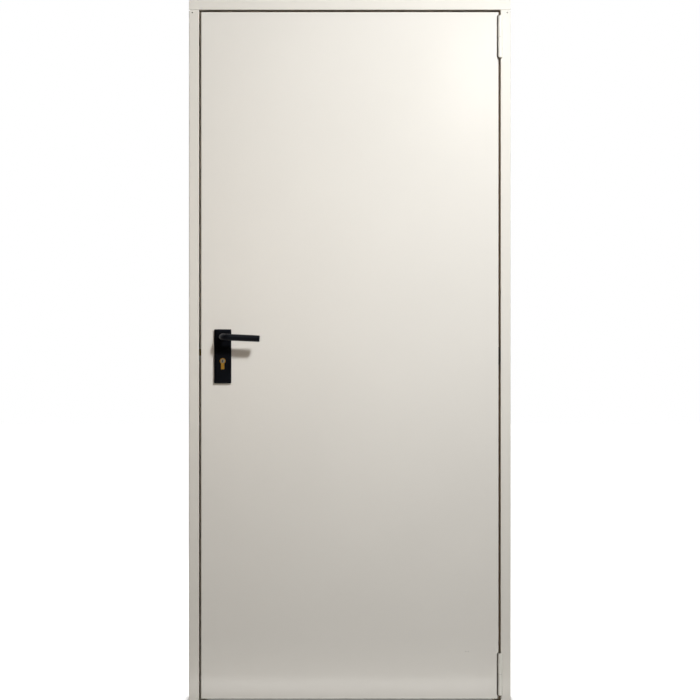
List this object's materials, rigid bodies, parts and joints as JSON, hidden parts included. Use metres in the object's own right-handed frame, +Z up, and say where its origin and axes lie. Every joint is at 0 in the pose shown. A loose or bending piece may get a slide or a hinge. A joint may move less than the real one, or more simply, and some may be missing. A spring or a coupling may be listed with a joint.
{
  "type": "steel utility door",
  "caption": "Flat steel door leaf hung in a folded steel frame by lift-off hinges, with a lever handle on each side, a spring latch and a profile cylinder.",
  "frame": {"origin": "floor level, on the wall side of the hinge jamb's fixing flange, on the line of its fixing holes", "axes": "+Z up, -Y towards the side that the door opens to, +X from the lock side to the hinge side"},
  "size_m": [0.963, 0.1636, 2.101],
  "materials": {
    "frame_paint": "satin",
    "leaf_paint": "satin",
    "hinge_paint": "satin",
    "seal_rubber": "matt",
    "galvanised_steel": "galvanised",
    "pin_steel": "turned",
    "cardboard_core": "plain",
    "yellow_zinc": "satin",
    "cylinder_brass": "machined",
    "cylinder_nickel": "nickel plated",
    "handle_plastic": "fine grained",
    "cover_plastic": "fine grained"
  },
  "bodies": {
    "frame": {"hinge_jamb": "frame_paint", "lock_jamb": "frame_paint", "frame_head": "frame_paint", "hinge_side_corner_bracket": "galvanised_steel", "lock_side_corner_bracket": "galvanised_steel", "hinge_side_seal": "seal_rubber", "lock_side_seal": "seal_rubber", "head_seal": "seal_rubber", "strike_box": "galvanised_steel", "top_hinge_frame_half": "hinge_paint", "bottom_hinge_frame_half": "hinge_paint", "top_hinge_pin": "pin_steel", "bottom_hinge_pin": "pin_steel"},
    "leaf": {"front_skin": "leaf_paint", "back_skin": "leaf_paint", "core": "cardboard_core", "top_channel": "galvanised_steel", "bottom_channel": "galvanised_steel", "top_hinge_plate": "galvanised_steel", "bottom_hinge_plate": "galvanised_steel", "top_hinge_leaf_half": "hinge_paint", "bottom_hinge_leaf_half": "hinge_paint", "blank_cover": "cover_plastic", "lock_forend": "yellow_zinc", "lock_case": "galvanised_steel", "deadbolt": "yellow_zinc", "key_cylinder": "cylinder_brass", "front_cylinder_plug": "cylinder_nickel", "back_cylinder_plug": "cylinder_nickel", "front_handle_plate": "handle_plastic", "back_handle_plate": "handle_plastic", "front_plate_insert": "handle_plastic", "back_plate_insert": "handle_plastic"},
    "lever": {"front_lever": "handle_plastic", "back_lever": "handle_plastic", "spindle": "pin_steel"},
    "latch": {"latch_bolt": "yellow_zinc"}
  },
  "joints": [
    {"name": "leaf_swing", "type": "hinge", "parent": "frame", "child": "leaf", "pos_m": [-0.003, -0.087, 0], "axis": [0, 0, 1], "range_deg": [0, 170]},
    {"name": "lever_turn", "type": "hinge", "parent": "leaf", "child": "lever", "pos_m": [-0.8331, -0.079, 1.092], "axis": [0, 1, 0], "range_deg": [0, 40], "stiffness_Nm_per_rad": 1.5, "springref_deg": -20.05},
    {"name": "latch_slide", "type": "slide", "parent": "leaf", "child": "latch", "axis": [1, 0, 0], "range_m": [0, 0.011]}
  ],
  "couplings": [
    {"joint": "latch_slide", "follows": "lever_turn", "m_per_rad": 0.01575}
  ]
}
